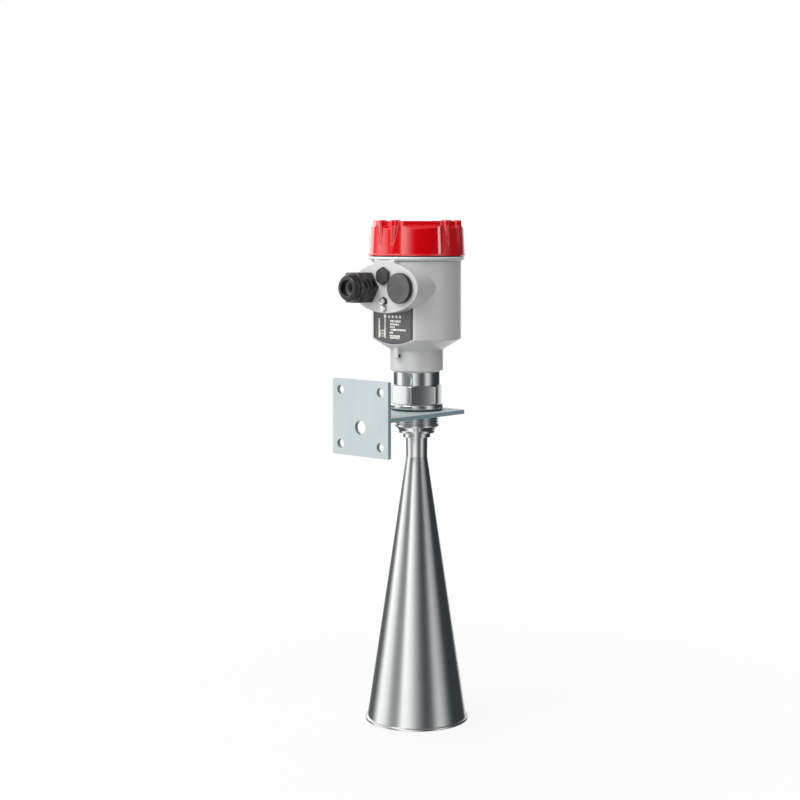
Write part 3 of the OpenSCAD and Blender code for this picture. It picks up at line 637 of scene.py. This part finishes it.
# The nameplate: thin anodised aluminium bonded to the housing's flat, printed in cream with rows
# of plain marks that stand for its data. It bears no words.
nameplate = softened("nameplate", 0.15 * mm)
anodised = Finish("anodised_plate")
brushed = anodised.grain(0.15 * mm, 3, anodised.stretched(0.03, 1, 1))
across = anodised.parts(anodised.place)
middle = 1 - abs(across["X"]).within(21 * mm, 24 * mm)
middle = middle * across["Z"].within(62 * mm, 67 * mm)
face = anodised.mixed(brushed, tint(80, 80, 81), tint(90, 90, 91))
nameplate.data.materials.append(anodised.shade(
    Base_Color=anodised.mixed(middle, tint(50, 50, 52), face),
    Roughness=0.42 + 0.1 * brushed,
    Normal=anodised.relief(brushed, 0.002 * mm)))

# Each row of the printing has its height, its left and right ends and the height of its marks.
# Each mark has the place of its middle, its width and its height.
print_y = -33.73
rng = np.random.default_rng(7)
label_rows = [
    (85.3, -4.5, 10.7, 1.8), (82.3, -4.0, 7.6, 1.4), (79.8, -4.2, 2.6, 1.4),
    (77.2, -3.4, 16.4, 1.5), (74.5, -4.6, 0.8, 1.4), (71.6, -4.6, 9.4, 1.3),
    (69.7, -4.6, 9.6, 1.3)]
most_marks, bolder, taller = 40, 1.25, 1.2
label_marks = [(x, 89.4, 2.3, 2.3) for x in (-4.6, 0.0, 4.6, 9.2)] + [(-9.8, 89.5, 3.0, 3.2)]
label_marks += [(x, z, 1.9, 0.85) for x in (-17.2, -9.8) for z in np.arange(69.8, 87.2, 1.22)]
label_marks += [(-13.4, z, 5.6, 0.5) for z in (70.8, 73.6, 76.4)]
label_marks += [(x, 73.6, 0.5, 5.6) for x in (-16.0, -13.5, -11.0)]
for height, left, right, tall in label_rows:
    starts = np.cumsum(rng.uniform(0.5, 1.25, most_marks)) + left
    for start, width in zip(starts, rng.uniform(0.35, 0.85, most_marks)):
        if start + width < right:
            mark_z = height + rng.uniform(-0.1, 0.1)
            label_marks.append((start + width / 2, mark_z, bolder * width, taller * tall))
middle_x, middle_z, wide, tall = np.array(label_marks).T[:, :, None, None]
corner_x = middle_x + wide * np.array([[-0.5, -0.5], [0.5, 0.5]])
corner_z = middle_z + tall * np.array([[-0.5, 0.5], [-0.5, 0.5]])
print_grids = np.stack([corner_x, np.full_like(corner_x, print_y), corner_z], -1) * mm
cream = Finish("cream_ink")
worn = cream.grain(1.5 * mm, 4)
ink = woven("label_print", *print_grids)
ink.materials.append(cream.shade(
    Base_Color=cream.mixed(
        worn.within(0.35, 0.6), tint(222, 218, 210), tint(250, 246, 238)),
    Roughness=0.5))
printing = bpy.data.objects.new("label_print", ink)
bpy.context.scene.collection.objects.link(printing)
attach(printing, "housing")


# The vent: a hexagonal plug of charcoal nylon screwed into the boss, with a membrane behind it that
# lets the housing breathe. Its flats are moulded a little rough.
def moulded(name, dark, light, smooth, texture, depth):
    """Moulded plastic: a fine eroded texture, with lighter and darker patches from its flow."""
    plastic = Finish(name)
    pits = plastic.grain(texture, 3)
    flow = plastic.grain(12 * mm, 2)
    return plastic.shade(
        Base_Color=plastic.mixed(flow.within(0.3, 0.7), dark, light),
        Roughness=smooth + 0.12 * pits,
        Normal=plastic.relief(pits, depth))


vent = softened("vent_plug", 0.8 * mm)
vent.data.materials.append(
    moulded("charcoal_nylon", tint(49, 49, 50), tint(61, 61, 62), 0.36, 0.3 * mm, 0.012 * mm))


# The cable gland: a black nylon body with a hexagon, and a nut with a domed end that squeezes a
# grey seal round the cable. No cable is fitted, so the seal shows in its mouth. Pale lines at five
# ridges round them are painted highlights, and the fourth ridge is a groove.
gland_body = softened("gland_body", 0.7 * mm)
gland_nut = softened("gland_nut", 0.7 * mm)
ridges = (46.8, 53.5, 54.1, 59.2, 65.8)
for piece, name, dark, light in (
        (gland_body, "black_nylon", tint(14, 14, 15), tint(24, 24, 25)),
        (gland_nut, "black_nylon_nut", tint(24, 24, 25), tint(36, 36, 37))):
    nylon = Finish(name)
    pits = nylon.grain(0.25 * mm, 3)
    outward = nylon.parts(nylon.place)["Y"]
    edges = [1 - abs(outward + ridge * mm).within(0.1 * mm, 0.45 * mm) for ridge in ridges]
    # Painted highlights: pale lines at the five ridges, broken up by a coarse grain.
    painted_light_lines = sum(edges) * nylon.grain(6 * mm, 2).within(0.25, 0.6)
    groove = edges[3]
    piece.data.materials.append(nylon.shade(
        Base_Color=nylon.mixed(painted_light_lines, nylon.mixed(pits, dark, light), tint(100, 100, 102)),
        Roughness=0.2 + 0.12 * pits,
        Normal=nylon.relief(pits * 0.02 - groove, 0.3 * mm)))
grommet = softened("gland_seal", 0.8 * mm)
grommet.data.materials.append(
    moulded("grey_neoprene", tint(62, 62, 64), tint(78, 78, 80), 0.55, 0.4 * mm, 0.03 * mm))
thrust = moulded(
    "grey_nylon", tint(118, 118, 120), tint(134, 134, 136), 0.4, 0.3 * mm, 0.01 * mm)
finish_plain(thrust, "gland_thrust_ring")
rubber = moulded("black_rubber", tint(20, 21, 21), tint(32, 33, 33), 0.6, 0.35 * mm, 0.03 * mm)
finish_plain(rubber, "gland_base_seal", "plug_seal", "lid_seal", "swivel_o_ring")


# The blanking plug: a dark grey disc moulded in one piece with its thread, which closes the unused
# entry. Its face is fine satin and its rim is smoother. The rim and side are painted near-black as
# shade against the face.
head_behind, head_drawn = 48 * mm, 1.3 * mm
plug = softened(
    "blanking_plug", 0.7 * mm, 3, lambda x, y, z: (x, y - head_drawn * (y < -head_behind), z))
disc = Finish("plug_nylon")
satin = disc.grain(0.35 * mm, 3)
outward = disc.parts(disc.place)["Y"]
front = (0 - outward).within(50.2 * mm, 50.6 * mm)
sheen = disc.grain(16 * mm, 2).within(0.3, 0.7)
face = disc.mixed(sheen, tint(64, 64, 65), tint(84, 85, 85))
# Painted shade: everything behind the face, meaning the rim and the side, is near-black.
plug.data.materials.append(disc.shade(
    Base_Color=disc.mixed(front, tint(5, 5, 6), disc.mixed(0.5 * satin, face, tint(90, 90, 91))),
    Roughness=0.3 + 0.12 * front + 0.1 * satin,
    Normal=disc.relief(satin, 0.010 * mm)))


# The earth terminal and the bonding screw: bright plated screws in tapped holes of the boss, with a
# clamp and a washer of black-oxide steel. The lock screw in the neck's lug is black-oxide too.
plated = steel("bright_screw", (0.74, 0.73, 0.70, 1), 0.16, 0.15 * mm, 0.002 * mm)
oxide = steel("black_oxide", (0.05, 0.05, 0.055, 1), 0.3, 0.2 * mm, 0.002 * mm)
for node, metal in (
        ("ground_clamp", oxide), ("ground_screw", plated),
        ("bond_washer", oxide), ("bond_screw", plated)):
    fastener = softened(node, 0.18 * mm)
    fastener.data.materials.append(metal)
finish_plain(plated, "cup_screws", "board_screws", "terminal_screws")
finish_plain(oxide, "lock_screw")


# The electronics: two round boards on brass pillars in a black plastic cup, with a cover that
# carries the green terminal block. All of it shows only when the lid is off.
cup = moulded("black_cup", tint(30, 31, 33), tint(42, 43, 45), 0.4, 0.4 * mm, 0.015 * mm)
finish_plain(cup, "electronics_cup", "cup_cover")
lacquer = Finish("board_lacquer")
cells = lacquer.add(
    "ShaderNodeTexVoronoi", {"distance": "MANHATTAN"}, {"Vector": lacquer.place, "Scale": 260.0})
tracks = cells["Distance"].within(0.4, 0.5)
board = lacquer.shade(
    Base_Color=lacquer.mixed(tracks, tint(12, 84, 52), tint(28, 116, 76)),
    Roughness=0.3,
    Normal=lacquer.relief(tracks, 0.03 * mm))
finish_plain(board, "main_board", "rf_board")
terminal = moulded(
    "terminal_green", tint(34, 122, 64), tint(46, 140, 78), 0.4, 0.4 * mm, 0.01 * mm)
finish_plain(terminal, "terminal_block")


# The lid: a die-cast screw cap under glossy red paint, with four pairs of grip lobes and a slanted
# bite between the pairs. The paint has the slight orange peel of a sprayed coat.
lid_turn, lid_low, crown, lid_top = math.radians(2.8), 146.3, 178.6, 179.4
lobe_turn, notch_foot, bite_foot, bite_reach = math.radians(10.8), 174.2, 174.6, 40.3
skirt_r, skirt_taper, slope = 45.6, 1.8, 0.75
lobe_r, lobe_lean, lobe_half, lobe_narrows = 46.25, 1.9, 4.2, 2.3
lobe_pitch_r, lobe_fall = 42.6, 19
bead_r, bead_high = 46.0, 1.5
foot_round, head_round = 0.4, 0.7
lobe_top_half, lobe_top_in, top_ease = 4.0, 38.9, 0.8


def blend(first, second, width):
    """The lesser of two lengths, eased where they cross: their lesser minus
    (width - their difference)^2 / (4 width) while they differ by less than the width."""
    near = np.maximum(width - np.abs(first - second), 0)
    return np.minimum(first, second) - near ** 2 / (4 * width)


def from_pair(t):
    """The angle t from the middle of the nearest pair of lobes, from -45 to 45 degrees."""
    return (t - lid_turn + math.pi / 4) % (math.pi / 2) - math.pi / 4


def lid_radius(t, z):
    """The lid's radius at an angle and a height. A skirt that tapers upwards is bitten by a flat
    wall with a slope below it, in the gaps between pairs and between the lobes of one pair. A lobe
    is its front radius minus 3.2 times the fourth power of the distance across it, and it narrows
    and leans towards its pair as it goes down. A bead goes round the foot."""
    quarter = from_pair(t)
    eighth = math.pi / 4 - np.abs(quarter)
    skirt = skirt_r - skirt_taper * (z - lid_low) / (crown - lid_low)
    bite = (bite_reach + np.maximum(bite_foot - z, 0) / slope) / np.cos(eighth)
    notch = (bite_reach + 0.4 + np.maximum(notch_foot - z, 0) / slope) / np.cos(quarter)
    notch = np.where(np.abs(quarter) < lobe_turn, notch, 60)
    wall = blend(blend(skirt, bite, 0.5), notch, 0.5)
    fall = np.clip((notch_foot - z) / lobe_fall, 0, 1.2)
    middle = lobe_pitch_r * math.sin(lobe_turn) - lobe_lean * fall
    aside = np.abs(lobe_pitch_r * np.sin(np.abs(quarter)) - middle)
    across = aside / (lobe_half - lobe_narrows * fall)
    lobe = lobe_r - 1.2 * fall - 3.2 * across ** 4
    bead = bead_r - 40 * np.maximum(z - lid_low - bead_high, 0)
    joined = -blend(-wall, -lobe, 0.7)
    return -blend(-joined, -bead, 0.4)


def lid_height(t, radius):
    """The height of the lid's top: the crown, and 0.8 mm more on each lobe."""
    aside = np.abs(radius * np.sin(np.abs(from_pair(t))) - lobe_pitch_r * math.sin(lobe_turn))
    across = np.clip((lobe_top_half - aside) / top_ease, 0, 1)
    inside = across * np.clip((radius - lobe_top_in) / top_ease, 0, 1)
    return crown + (lid_top - crown) * inside * inside * (3 - 2 * inside)


# The lid's skin goes up its foot, wall and edge and inwards over its top, with finer steps at the
# lobes. The bore and the well under the crown are turned.
fine = np.concatenate([
    np.arange(-45, -17, 1.0), np.arange(-17, -2, 0.25), np.arange(-2, 2, 0.5),
    np.arange(2, 17, 0.25), np.arange(17, 45, 1.0)])
all_round = np.concatenate([fine + 90 * side for side in range(4)] + [[315]])
t = lid_turn + np.radians(all_round)[:, None]
rounding = np.linspace(0, math.pi / 2, 6)[None]
rim_height = lid_height(t, np.full_like(t, 44))
foot_z = lid_low + foot_round * (1 - np.cos(rounding)) + 0 * t
foot_r = lid_radius(t, foot_z) - foot_round * (1 - np.sin(rounding))
rise = np.concatenate([
    np.linspace(0, 0.06, 9), np.linspace(0.1, 0.72, 16), np.linspace(0.735, 1, 26)])[None]
wall_z = lid_low + foot_round + rise * (rim_height - head_round - lid_low - foot_round)
wall_r = lid_radius(t, wall_z)
edge_z = rim_height - head_round * (1 - np.sin(rounding))
edge_r = lid_radius(t, edge_z) - head_round * (1 - np.cos(rounding))
inwards = np.concatenate([np.linspace(0.995, 0.8, 20), np.linspace(0.74, 0, 7)])[None]
top_r = edge_r[:, -1:] * inwards
top_z = lid_height(t, top_r)
bore_r, bore_top, well_r, well_top = 41.05, 165.6, 34.5, 174
inner = eased([
    (45.9, lid_low), (bore_r, lid_low), (bore_r, bore_top), (well_r, bore_top),
    (well_r, well_top), (0, well_top)], 0.4, 4)[3:-4]
under_r, under_z = [part + 0 * t for part in inner.T[:, None]]
lid_r = np.concatenate([foot_r, wall_r, edge_r, top_r], 1)
lid_z = np.concatenate([foot_z, wall_z, edge_z, top_z], 1)
outer_grid = np.stack([lid_r * np.cos(t), lid_r * np.sin(t), lid_z], -1) * mm
under_r = np.concatenate([foot_r[:, :1], under_r], 1)[:, ::-1]
under_z = np.concatenate([foot_z[:, :1], under_z], 1)[:, ::-1]
inner_grid = np.stack([under_r * np.cos(t), under_r * np.sin(t), under_z], -1) * mm
lid = placed(woven("red_lid", outer_grid, inner_grid), "lid")
paint = Finish("gloss_red_paint")
peel = paint.grain(1.6 * mm, 2)
tone = paint.grain(25 * mm, 2)
lid.data.materials.append(paint.shade(
    Base_Color=paint.mixed(tone, tint(200, 0, 7), tint(208, 0, 10)),
    Roughness=0.5 + 0.06 * peel,
    Specular_IOR_Level=0.0,
    Coat_Weight=1.0,
    Coat_IOR=1.85,
    Coat_Roughness=0.05,
    Normal=paint.relief(peel, 0.006 * mm)))
